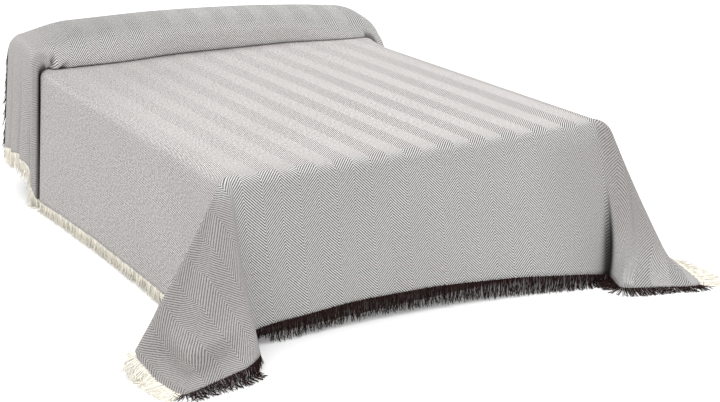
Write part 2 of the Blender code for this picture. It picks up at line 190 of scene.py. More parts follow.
def roundPlace(rows, along, samples=11, crisp=0.02):
    soft = min(straightPlace(rows, along).soft, along - rows[0].along, rows[-1].along - along)

    def averaged(reach):
        ways = [2 * i / (samples - 1) - 1 for i in range(samples)]
        spots = [straightPlace(rows, along + reach * way) for way in ways]
        return hemPlace(*(sum(column) / samples for column in zip(*spots)))

    fine = averaged(min(soft, crisp))
    return averaged(soft)._replace(lift=fine.lift, toeX=fine.toeX, toeY=fine.toeY)


# the bolster's section under the cloth, fuller low down at the front, where the cloth tucks under it
def ovalPoint(degrees):
    angle = math.radians(degrees)
    forward = math.cos(angle)
    if degrees < 0:
        forward = forward ** tuck["lowerFront"]
    y = bolster["middle"] - bolster["reach"] * forward
    return y, bed["top"] + bolster["rise"] * (1 + math.sin(angle))


# how full the bolster is along its length; its left end slopes down
def crown(x):
    full = 1 + bolster["crown"] * (1 - ((x - bolster["highest"]) / bolster["crownHalf"]) ** 2)
    slope = max(0.0, (bolster["shoulder"] - x) / bolster["shoulderReach"])
    return full - bolster["shoulderFall"] * slope ** 1.3


# rows across the top: flat cloth, y, z, where the row's fall meets the side hem, how far it has
# come over onto the bolster
def longRows():
    rows = []
    for y in spaced(footLine, tuck["front"], cloth["alongRows"]):
        flat = y - footLine
        rows.append([flat, y, bed["top"], flat * tuck["frontHem"] / (tuck["front"] - footLine), 0.0])
    for y in spaced(tuck["front"], tuck["deep"], 5)[1:]:
        share = (y - tuck["front"]) / (tuck["deep"] - tuck["front"])
        meets = between(tuck["frontHem"], tuck["deepHem"], share)
        rows.append([y - footLine, y, bed["top"], meets, 0.0])
    flat = rows[-1][0]
    before = (rows[-1][1], rows[-1][2])
    ends = spaced(tuck["wrapFrom"], tuck["wrapRidge"], 3)
    ends += spaced(tuck["wrapRidge"], tuck["wrapTo"], cloth["wrapRows"])[1:]
    places = []
    for degrees in ends:
        spot = ovalPoint(degrees)
        flat += math.hypot(spot[0] - before[0], spot[1] - before[1])
        places.append((degrees, flat, *spot))
        before = spot
    ridge = [p[1] for p in places if p[0] >= tuck["wrapRidge"]][0]
    deep, end = rows[-1][0], places[-1][1]
    oneThird = (tuck["wrapTo"] - tuck["wrapRidge"]) / 4.5
    for degrees, flat, y, z in places:
        if flat <= ridge:
            meets = between(tuck["deepHem"], tuck["ridgeHem"], (flat - deep) / (ridge - deep))
            over = between(0.0, 0.33, (flat - deep) / (ridge - deep))
        else:
            meets = between(tuck["ridgeHem"], end, (flat - ridge) / (end - ridge))
            over = min(1.0, 0.33 + 0.67 * (degrees - tuck["wrapRidge"]) / oneThird)
        rows.append([flat, y, z, meets, over])
    return rows


def halfWidth(side, y, over):
    spread = min(max((y - rightEdge["from"]) / (tuck["front"] - rightEdge["from"]), 0.0), 1.0)
    onBed = flatHalf + (rightEdge["wider"] + rightEdge["spread"] * spread * spread if side > 0 else 0.0)
    return between(onBed, bolster["flat"][side], over)


def edgeBend(side):
    return cloth["bend"] if side < 0 else rightEdge["bend"]


# stops along a fall: close together over the bend, then even; more open where it leaves the bolster
def stopsFor(over):
    bendShare = between(0.11, 0.33, over)
    bendStops = cloth["fallStops"] // 4
    rest = cloth["fallStops"] - bendStops
    return [bendShare * i / bendStops for i in range(bendStops)] + spaced(bendShare, 1.0, rest)


# one line down the cloth: over the bend, straight down to its place, and out over the floor where
# the hem reaches on beyond that
def fall(start, out, place, bend, stops, swing=1.0):
    flat = Vector((place.x - start.x, place.y - start.y, 0.0))
    reach = flat.dot(out)
    shift = flat - out * reach
    toe = Vector((place.toeX, place.toeY, 0.0))
    toe.z = -cloth["toeFall"] * toe.length
    drop = start.z - place.lift + toe.z
    slope = math.atan2(drop - bend, reach) + math.asin(bend / math.hypot(reach, drop - bend))
    bendLength = bend * slope
    whole = bendLength + (drop - bend * (1 - math.cos(slope))) / math.sin(slope)

    def onFall(left):
        turn = min(left, bendLength) / bend
        rest = max(left - bendLength, 0.0)
        away = bend * math.sin(turn) + rest * math.cos(slope)
        down = bend * (1 - math.cos(turn)) + rest * math.sin(slope)
        return start + out * away + shift * (left / whole) ** swing - Vector((0, 0, down))

    cut = min(cloth["kneeCut"], 0.8 * toe.length)
    knee = onFall(whole)
    points = []
    for stop in stops:
        left = stop * (whole + toe.length)
        if left <= whole - cut:
            points.append(onFall(left))
        elif left >= whole + cut:
            points.append(knee + toe.normalized() * (left - whole))
        else:
            share = (left - whole + cut) / (2 * cut)
            above, beyond = onFall(whole - cut), knee + toe.normalized() * cut
            points.append(above.lerp(knee, share).lerp(knee.lerp(beyond, share), share))
    return points


# the tuck's line comes forward over the bed's right end, and a little at the left: rows near it follow
def forwardShift(x, y, z):
    if y < tuck["front"]:
        share = smooth((y - tuck["rowsFrom"]) / (tuck["front"] - tuck["rowsFrom"]))
    else:
        share = 1 - smooth((z - bed["top"]) / tuck["rowsHigh"]) if y < bolster["middle"] else 0.0
    rightward = smooth((x - tuck["forwardFrom"]) / (tuck["forwardTo"] - tuck["forwardFrom"]))
    leftward = smooth((tuck["leftFrom"] - x) / tuck["leftReach"])
    leftward *= smooth((x - tuck["leftEnd"]) / tuck["leftEndReach"])
    return -share * (tuck["forward"] * rightward + tuck["leftForward"] * leftward)


def gather(x, climb):
    away = math.hypot(x - gathers["x"], climb)
    angle = math.atan2(climb, x - gathers["x"])
    strength = mound(away, gathers["near"], gathers["reach"]) * smooth(climb / 0.012)
    return strength * math.sin(2 * gathers["turns"] * angle)


# soft unevenness of hanging cloth, from -1 to 1
def wave(seed, place, stretch):
    return noise.noise(Vector((place * stretch, seed * 7.31, 0.4)))


def dropFold(meets):
    return sum(high * mound(meets, place, half) for place, half, high in dropFolds)


# painted shadow in the deep valley where the right ear folds over the foot
valley = {"place": -0.955, "footHalf": 0.066, "earHalf": 0.05, "from": 0.28, "over": 0.55}


def cornerShade(side, along, stop):
    if side < 0:
        return 0.0
    half = valley["footHalf" if along < valley["place"] else "earHalf"] * (0.12 + 0.88 * stop * stop)
    return mound(along, valley["place"], half) * smooth((stop - valley["from"]) / valley["over"])


# the slack where the left ear comes to rest: a low swell with a hollow under it
slack = {"place": -0.50, "half": 0.17, "swell": 0.76, "hollow": 0.86, "reach": 0.045, "tilt": 0.02}


def restFold(side, along, stop):
    if side > 0:
        return 0.0
    bent = stop - slack["tilt"] * math.sin(9 * along)
    swell = mound(bent, slack["swell"], slack["reach"]) - mound(bent, slack["hollow"], slack["reach"])
    return mound(along, slack["place"], slack["half"]) * swell


# One row across the top. Every point of the cloth carries its place in the flat sheet, which the
# weave follows, then how much painted ear shade and painted crease shade it takes, and how far its fringe
# flares.
def topRow(flat, y, z, meets, over):
    # painted shade in the tuck's crease, on the bolster's lower lip and on the top below it, deeper towards
    # the left end
    crease = 0.0
    if z > bed["top"]:
        if y < bolster["middle"]:
            crease = smooth((bed["top"] + tuckShade["high"] - z) / tuckShade["highReach"])
    elif tuck["frontHem"] < meets < tuck["ridgeHem"]:
        crease = smooth((y - tuckShade["from"]) / tuckShade["reach"])
    climb = flat - (tuck["deep"] - footLine)
    onBed = 1 if flat < 1.6 else 0
    line = []
    for share in spaced(0.0, 1.0, cloth["acrossRows"]):
        x = between(-halfWidth(-1, y, over), halfWidth(1, y, over), share)
        rise = bed["top"] + (z - bed["top"]) * crown(x)
        lift = cloth["topLift"] * (0.5 + 0.5 * noise.noise(Vector((x * 2.3, y * 2.3, 1.7))))
        lump = cloth["bolsterWave"] * over * noise.noise(Vector((x * 4.1, y * 6.0, z * 6.0)))
        inward = min(1.0, 14 * min(share, 1 - share))
        place = Vector((x, y, rise + lift * (1 - over) * inward * onBed))
        deep = crease
        if over:
            away = Vector((0, y - bolster["middle"], (rise - bed["top"] - bolster["rise"]) * 2))
            fold = gather(x, climb)
            place += away.normalized() * (lump * inward + gathers["high"] * fold)
            # painted shade in the gathers' hollows
            deep = max(crease, -gathers["shade"] * fold)
        leftward = smooth((tuckShade["leftFrom"] - x) / tuckShade["leftReach"])
        deep *= between(tuckShade["depth"], tuckShade["leftDepth"], leftward)
        place.y += forwardShift(x, y, z)
        line.append((place, (x, flat), (0.0, deep, 0.0)))
    return line


# the falls down a long side, from the foot to the head
def sideFalls(side, top, rows):
    table = leftHem if side < 0 else rightHem
    group = []
    for line, (flat, _, _, meets, over) in zip(top, rows):
        start = line[0][0] if side < 0 else line[-1][0]
        bend = between(edgeBend(side), bolster["bend"][side], over)
        stops = stopsFor(over)
        swing = between(ears["swing"][side], 1.0, smooth(flat / 0.3))
        points = fall(start, Vector((side, 0, 0)), roundPlace(table, meets), bend, stops, swing)
        # painted shadow in the pleat beside the tuck; the same share also stills the sway there
        crease = smooth((meets - tuck["frontHem"]) / 0.015)
        crease *= smooth((tuck["ridgeHem"] + 0.030 - meets) / 0.055)
        sway = cloth["sideWave"] * wave(side, meets, 5.0) * (1 - crease)
        folds = dropFold(meets) if over else 0.0
        flow = []
        for stop, point in zip(stops, points):
            deep = crease * between(tuckShade["dropStart"], tuckShade["dropDepth"][side], smooth(stop * 6))
            # painted shade in the hollows of the drop's folds
            deep = max(deep, -tuckShade["dropFolds"] * folds * smooth(stop * 1.6 - 0.2))
            away = sway * smooth(stop * 1.2 - 0.15) + 0.35 * sway * wave(side + 4, meets, 13.0) * stop
            away += folds * smooth(stop * 2.5 - 0.1)
            spot = (between(start.x, side * cloth["width"] / 2, stop), between(flat, meets, stop))
            flow.append((point + Vector((side * away, 0, 0)), spot, (0.0, deep, 0.0)))
        group.append(flow)
    return group


# the falls over the foot, from left to right
def footFalls(line, stops):
    group = []
    for place, (x, _), _ in line:
        along = hemCorner - (cloth["width"] / 2 - abs(x))
        side = -1 if x < 0 else 1
        # painted shade on the foot's right end, beside the right ear
        nearEarShade = ears["joinEarShade"] * smooth((x - 0.25) / 0.4)
        short = -ears["short"] * smooth((-0.600 - x) / 0.06)
        bend = between(edgeBend(-1), edgeBend(1), smooth((x - 0.3) / 0.4))
        swing = between(1.0, ears["swing"][side], smooth((abs(x) - 0.40) / 0.3))
        table = leftHem if x < 0 else rightHem
        points = fall(place, Vector((0, -1, 0)), roundPlace(table, along), bend, stops, swing)
        sway = cloth["footWave"] * wave(9, x, 4.0) * smooth((0.72 - abs(x)) / 0.2)
        flow = []
        for stop, point in zip(stops, points):
            shades = (nearEarShade * smooth(stop * 5), cornerShade(side, along, stop), short)
            away = Vector((0, sway * smooth(stop * 1.2 - 0.15), 0))
            flow.append((point - away, (x, -cloth["footDrop"] * stop), shades))
        group.append(flow)
    return group


def earFlare(side, along):
    flare = smooth((ears["flareFrom"] - along) / 0.10) * smooth((along - ears["flareTo"]) / 0.14)
    if side < 0 and along < hemCorner:
        flare -= ears["short"] * smooth((ears["shortFrom"] - along) / 0.02)
    return flare


# how much of the painted ear shade a point takes: the ears' weave is painted darker, and its lines get less
# contrast
def earShadeShare(side, turned, middle, stop):
    joining = ears["joinEarShade"] if side > 0 and turned > 0.5 else 0.0
    tone = ears["tone"][side] * between(1.0, ears["lowEarShade"][side], smooth((stop - 0.55) / 0.35))
    if side < 0:
        tone *= between(1.0, ears["turnedEarShade"], smooth((turned - 0.50) / 0.40))
    return between(joining, tone, min(1.0, middle * 3)) * min(1.0, stop * (5 if side < 0 else 14))


# an ear: its falls all start at the bed's corner and turn from the side round to the foot
def earFalls(side, start, stops):
    corner, cornerFlat, _ = start
    table = leftHem if side < 0 else rightHem
    across = cloth["width"] / 2 - abs(cornerFlat[0])
    edge = []
    for share in spaced(0.0, 1.0, ears["falls"])[1:]:
        edge.append((hemCorner * share, (side * cloth["width"] / 2, hemCorner * share)))
    for share in spaced(0.0, 1.0, ears["falls"])[1:-1]:
        spot = (side * (cloth["width"] / 2 - across * share), hemCorner)
        edge.append((hemCorner - across * share, spot))
    group = []
    for count, (along, hemFlat) in enumerate(edge):
        turned = along / (hemCorner - across)
        angle = math.radians(90) * turned ** ears["turn"][side]
        bend = between(edgeBend(side), ears["bend"][side], math.sin(math.pi * turned))
        flare = earFlare(side, along)
        out = Vector((side * math.cos(angle), -math.sin(angle), 0.0))
        swing, bulge = ears["swing"][side], 0.0
        if side > 0:
            swing = between(swing, ears["foldSwing"], smooth((-0.45 - along) / 0.25))
            bulge = ears["bulge"] * mound(along, ears["bulgePlace"], ears["bulgeHalf"])
        points = fall(corner, out, roundPlace(table, along), bend, stops, swing)
        sway = ears["wave"][side] * wave(20 + side, count / len(edge), 6.0)
        middle = math.sin(math.pi * (count + 1) / (len(edge) + 1))
        flow = []
        for stop, point in zip(stops, points):
            grow = max(smooth(stop * 1.3 - 0.2) * min(1.0, (point.z - 0.002) * 20), 0.0)
            resting = restFold(side, along, stop)
            flat = (between(cornerFlat[0], hemFlat[0], stop), between(0.0, hemFlat[1], stop))
            # painted shade in the right ear's valley and in the hollow under the left ear's resting swell
            crease = max(cornerShade(side, along, stop), -ears["restShade"] * resting)
            away = out * (sway * grow + ears["restOut"] * resting)
            full = bulge * math.sin(math.pi * stop ** ears["bulgeLean"])
            swell = Vector((full, 0, ears["restHigh"] * max(resting, 0.0)))
            flow.append((point + away + swell, flat, (earShadeShare(side, turned, middle, stop), crease, flare)))
        group.append(flow)
    return group


# the cloth as a net: rows across the top, then falls all round, and how many make an ear
def clothNet():
    rows = longRows()
    top = [topRow(*row) for row in rows]
    left, right = sideFalls(-1, top, rows), sideFalls(1, top, rows)
    stops = stopsFor(0.0)
    foot = footFalls(top[0], stops)
    leftEar, rightEar = earFalls(-1, top[0][0], stops), earFalls(1, top[0][-1], stops)
    return top, left[::-1] + leftEar + foot + rightEar[::-1] + right, len(leftEar), rows


def meshPiece(name, places, faces, flats=None, shades=None):
    mesh = bpy.data.meshes.new(name)
    mesh.from_pydata([tuple(p) for p in places], [], faces)
    if flats:
        layer = mesh.uv_layers.new(name="flat")
        corners = [0] * len(mesh.loops)
        mesh.loops.foreach_get("vertex_index", corners)
        layer.data.foreach_set("uv", [value for corner in corners for value in flats[corner]])
    for column, title in enumerate(("ear", "crease") if shades else ()):
        shade = mesh.attributes.new(title, "FLOAT", "POINT")
        shade.data.foreach_set("value", [values[column] for values in shades])
    mesh.shade_smooth()
    piece = bpy.data.objects.new(name, mesh)
    bpy.context.scene.collection.objects.link(piece)
    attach(piece, "root")
    return piece


# faces that join rings of points into a tube, closed at both ends
def tubeFaces(rings, around, first=0):
    faces = []
    for i in range(rings - 1):
        for k in range(around):
            a, b = first + i * around + k, first + i * around + (k + 1) % around
            faces.append((a, b, b + around, a + around))
    faces.append(tuple(range(first, first + around))[::-1])
    last = first + (rings - 1) * around
    faces.append(tuple(range(last, last + around)))
    return faces


def makeBedspread(top, falls, earCount):
    places, flats, shades, faces = [], [], [], []

    def keep(entry):
        places.append(entry[0])
        flats.append(entry[1])
        shades.append(entry[2])
        return len(places) - 1

    grid = [[keep(entry) for entry in line] for line in top]
    for near, far in zip(grid, grid[1:]):
        for i in range(len(near) - 1):
            faces.append((near[i], near[i + 1], far[i + 1], far[i]))
    heads = [line[0] for line in grid[::-1]] + [grid[0][0]] * earCount + grid[0]
    heads += [grid[0][-1]] * earCount + [line[-1] for line in grid]
    lines = [[head] + [keep(entry) for entry in flow[1:]] for head, flow in zip(heads, falls)]
    for here, there in zip(lines, lines[1:]):
        if here[0] != there[0]:
            faces.append((here[0], here[1], there[1], there[0]))
        else:
            faces.append((here[0], here[1], there[1]))
        for k in range(1, len(here) - 1):
            faces.append((here[k], here[k + 1], there[k + 1], there[k]))
    piece = meshPiece("bedspreadCloth", places, faces, flats, shades)
    thick = piece.modifiers.new("thickness", "SOLIDIFY")
    thick.thickness = cloth["thickness"]
    thick.offset = 1.0
    thick.use_even_offset = False
    return piece


# the hem as a line of (place, way out of the cloth, outer side, how far the fringe lies outward)
def hemLine(edge, inner):
    frames = []
    for i, ((place, _, (_, _, flare)), (back, _, _)) in enumerate(zip(edge, inner)):
        along = (edge[min(i + 1, len(edge) - 1)][0] - edge[max(i - 1, 0)][0]).normalized()
        out = place - back
        out -= along * out.dot(along)
        out.normalize()
        frames.append((place, out, out.cross(along).normalized(), flare))
    return frames


fringe = {
    "spacing": 0.0019, "rootInside": 0.003, "thick": 0.0026, "steps": 7, "sides": 4,
    "sideLength": 0.052, "endLength": 0.071, "wander": 0.16, "gravity": 0.42, "floor": 0.0016,
    "lyingCurl": {"side": 0.13, "end": 0.62}, "flare": 0.75, "gaps": {"side": 0.0, "end": 0.14},
    "dropLonger": 1.5, "curl": 0.10,
}


def strandPath(rng, start, out, length, curl, gravity):
    step = length / fringe["steps"]
    heading = out.normalized()
    level = Vector((out.x, out.y, 0.0))
    level = level.normalized() if level.length > 0.01 else Vector((0, -1, 0))
    drift = Vector((rng.uniform(-1, 1), rng.uniform(-1, 1), rng.uniform(-0.4, 0.4))) * fringe["wander"]
    place = start.copy()
    path = [place.copy()]
    for k in range(fringe["steps"]):
        drift += Vector((rng.uniform(-1, 1), rng.uniform(-1, 1), rng.uniform(-0.5, 0.5))) * curl
        heading = heading.lerp(Vector((0, 0, -1)), gravity)
        heading = (heading + drift * (0.3 + 0.7 * k / fringe["steps"])).normalized()
        nextPlace = place + heading * step
        if nextPlace.z < fringe["floor"]:
            heading = (Vector((heading.x, heading.y, 0.0)) * 0.6 + level * 0.8).normalized()
            nextPlace = place + heading * step
            nextPlace.z = max(fringe["floor"] + rng.uniform(0, 0.003), place.z - step * 0.8)
        place = nextPlace
        path.append(place.copy())
    return path


def makeFringe(name, frames, kind, seed, lying):
    rng = random.Random(seed)
    length = fringe[kind + "Length"]
    steps = [0.0]
    for a, b in zip(frames, frames[1:]):
        steps.append(steps[-1] + (b[0] - a[0]).length)
    places, flats, faces = [], [], []
    count = int(steps[-1] / fringe["spacing"])
    i = 0
    for n in range(count):
        along = (n + rng.uniform(0.1, 0.9)) / count * steps[-1]
        while i < len(frames) - 2 and steps[i + 1] < along:
            i += 1
        share = (along - steps[i]) / max(steps[i + 1] - steps[i], 1e-6)
        here, there = frames[i], frames[i + 1]
        out = here[1].lerp(there[1], share).normalized()
        up = here[2].lerp(there[2], share).normalized()
        flare = between(here[3], there[3], share) * fringe["flare"]
        short = 1 + min(flare, 0.0)
        flare = max(flare, 0.0)
        if rng.random() < flare * fringe["gaps"][kind]:
            continue
        start = here[0].lerp(there[0], share) - out * fringe["rootInside"]
        start += up * cloth["thickness"] * rng.uniform(0.15, 0.85)
        size = length * short * rng.uniform(0.90, 1.03) * between(1.0, lying, flare)
        if kind == "side":
            size *= between(1.0, fringe["dropLonger"], smooth((start.y - 0.60) / 0.06))
        out = out.lerp(Vector((out.x, out.y, -0.1)).normalized(), flare).normalized()
        curl = between(fringe["curl"], fringe["lyingCurl"][kind], flare)
        path = strandPath(rng, start, out, size, curl, fringe["gravity"] * (1 - flare))
        tone = rng.random()
        thick = fringe["thick"] * rng.uniform(0.7, 1.15) * (1 + (0.4 * flare if kind == "side" else 0.0))
        base = len(places)
        side = (there[0] - here[0]).normalized()
        for k, place in enumerate(path):
            before, after = path[max(k - 1, 0)], path[min(k + 1, len(path) - 1)]
            heading = (after - before).normalized()
            wide = side - heading * side.dot(heading)
            wide = wide.normalized() if wide.length > 0.05 else heading.orthogonal().normalized()
            deep = heading.cross(wide)
            part = k / (len(path) - 1)
            half = thick / 2 * (1 - 0.35 * part * part)
            for q in range(fringe["sides"]):
                turn = 2 * math.pi * (q + 0.5) / fringe["sides"]
                corner = place + (wide * math.cos(turn) + deep * math.sin(turn)) * half
                corner.z = max(corner.z, 0.0004)
                places.append(corner)
                flats.append((tone, part))
        faces += tubeFaces(len(path), fringe["sides"], base)
    return meshPiece(name, places, faces, flats)


def newTree(name):
    material = bpy.data.materials.new(name)
    material.use_nodes = True
    tree = material.node_tree
    return material, tree, tree.nodes["Principled BSDF"]


def groupTree(name, inputs, outputs):
    tree = bpy.data.node_groups.new(name, "ShaderNodeTree")
    for title, kind, value in inputs:
        socket = tree.interface.new_socket(title, in_out="INPUT", socket_type=kind)
        socket.default_value = value
    for title, kind in outputs:
        tree.interface.new_socket(title, in_out="OUTPUT", socket_type=kind)
    return tree, tree.nodes.new("NodeGroupInput"), tree.nodes.new("NodeGroupOutput")


def feed(tree, socket, value):
    if isinstance(value, bpy.types.NodeSocket):
        tree.links.new(value, socket)
    else:
        socket.default_value = value


def sums(tree, kind, *values):
    node = tree.nodes.new("ShaderNodeMath")
    node.operation = kind
    for socket, value in zip(node.inputs, values):
        feed(tree, socket, value)
    return node.outputs[0]


def times(tree, first, second):
    return sums(tree, "MULTIPLY", first, second)


def split(tree, vector):
    node = tree.nodes.new("ShaderNodeSeparateXYZ")
    tree.links.new(vector, node.inputs[0])
    return node.outputs


# where a point lies in the flat sheet, or for yarn its strand's number and the way along it
def flatMap(tree):
    node = tree.nodes.new("ShaderNodeUVMap")
    node.uv_map = "flat"
    return node.outputs[0]


# a shared effect, placed in a material with its own values
def placed(tree, group, where, values):
    node = tree.nodes.new("ShaderNodeGroup")
    node.node_tree = group
    tree.links.new(where, node.inputs[0])
    for title, value in values.items():
        node.inputs[title].default_value = value
    return node.outputs


# a number that the mesh keeps at every point
def pointMark(tree, title):
    node = tree.nodes.new("ShaderNodeAttribute")
    node.attribute_name = title
    return node.outputs["Fac"]


def tinted(tree, red, green, blue):
    node = tree.nodes.new("ShaderNodeCombineColor")
    for socket, value in zip(node.inputs, (red, green, blue)):
        tree.links.new(value, socket)
    return node.outputs[0]


def grain(tree, vector, scale, detail=2.0, rough=0.5):
    node = tree.nodes.new("ShaderNodeTexNoise")
    feed(tree, node.inputs["Vector"], vector)
    feed(tree, node.inputs["Scale"], scale)
    node.inputs["Detail"].default_value = detail
    node.inputs["Roughness"].default_value = rough
    return node.outputs["Fac"]


def spread(tree, value, low, high, toLow=0.0, toHigh=1.0):
    node = tree.nodes.new("ShaderNodeMapRange")
    node.interpolation_type = "SMOOTHSTEP"
    feed(tree, node.inputs["Value"], value)
    for title, number in (("From Min", low), ("From Max", high), ("To Min", toLow), ("To Max", toHigh)):
        node.inputs[title].default_value = number
    return node.outputs["Result"]


def blendColour(tree, share, first, second, kind="MIX"):
    node = tree.nodes.new("ShaderNodeMix")
    node.data_type = "RGBA"
    node.blend_type = kind
    feed(tree, node.inputs["Factor"], share)
    feed(tree, node.inputs["A"], first)
    feed(tree, node.inputs["B"], second)
    node.clamp_result = True
    return node.outputs["Result"]


def coloured(tree, shader, colour, roughness, shine=0.5):
    tree.links.new(colour, shader.inputs["Base Color"])
    shader.inputs["Roughness"].default_value = roughness
    shader.inputs["Specular IOR Level"].default_value = shine


def bumped(tree, shader, height, strength, distance):
    node = tree.nodes.new("ShaderNodeBump")
    node.inputs["Strength"].default_value = strength
    node.inputs["Distance"].default_value = distance
    feed(tree, node.inputs["Height"], height)
    tree.links.new(node.outputs["Normal"], shader.inputs["Normal"])


# a herringbone of twill lines in columns along the bed, as lines, which way each column leans (for the
# painted sheen), yarn flecks, height
def herringboneGroup():
    tree, given, result = groupTree("herringbone", [
        ("Flat", "NodeSocketVector", (0, 0, 0)), ("Column Width", "NodeSocketFloat", 0.0671),
        ("Column Start", "NodeSocketFloat", 0.0), ("Line Step", "NodeSocketFloat", 0.0064),
        ("Slope", "NodeSocketFloat", 1.0), ("Fleck Scale", "NodeSocketFloat", 420.0),
    ], [("Lines", "NodeSocketFloat"), ("Column", "NodeSocketFloat"), ("Flecks", "NodeSocketFloat"),
        ("Height", "NodeSocketFloat")])
    flat = split(tree, given.outputs["Flat"])
    uneven = grain(tree, given.outputs["Flat"], 7.0, 1.0)
    drift = times(tree, sums(tree, "SUBTRACT", uneven, 0.5), 0.006)
    across = sums(tree, "SUBTRACT", flat["X"], given.outputs["Column Start"])
    across = sums(tree, "DIVIDE", across, given.outputs["Column Width"])
    folded = sums(tree, "PINGPONG", across, 1.0)
    rise = times(tree, folded, times(tree, given.outputs["Column Width"], given.outputs["Slope"]))
    way = sums(tree, "ADD", sums(tree, "ADD", flat["Y"], drift), rise)
    half = sums(tree, "PINGPONG", sums(tree, "ADD", across, 0.5), 1.0)
    column = spread(tree, half, 0.46, 0.54)
    phase = times(tree, sums(tree, "DIVIDE", way, given.outputs["Line Step"]), 2 * math.pi)
    phase = sums(tree, "MULTIPLY_ADD", column, math.pi, phase)
    lines = sums(tree, "MULTIPLY_ADD", sums(tree, "SINE", phase), 0.5, 0.5)
    flecks = grain(tree, given.outputs["Flat"], given.outputs["Fleck Scale"], 2.0, 0.6)
    height = sums(tree, "MULTIPLY_ADD", flecks, 0.5, lines)
    for title, value in (("Lines", lines), ("Column", column), ("Flecks", flecks), ("Height", height)):
        tree.links.new(value, result.inputs[title])
    return tree


weave = {
    "light": (0.80, 0.765, 0.75, 1), "dark": (0.050, 0.044, 0.042, 1), "middle": 0.475,
    "columnWidth": 0.0671, "columnStart": -0.0088, "lineStep": 0.0098, "fleckScale": 420.0,
    "contrast": 0.74, "earContrast": 0.56, "dropContrast": 0.38, "columnSheen": 0.12,
    "fleckTone": 0.10, "slubScale": 150.0, "slubTone": 0.05, "mottle": (165.0, 85.0, 1.0),
    "mottleTone": 0.125,
    # how strongly shade and light are painted into the cloth's colour, region by region
    "footShade": 0.905, "sideShade": 0.96, "headShade": 0.85, "dropShade": 0.92, "lyingShade": 0.86,
    "earShade": 0.79, "creaseShade": 0.03, "bolsterLow": 1.24, "bolsterHigh": 0.80, "bolsterFoot": 1.22,
    "cooler": 1.035, "roughness": 0.92, "bump": 0.35, "bumpDepth": 0.0012,
}


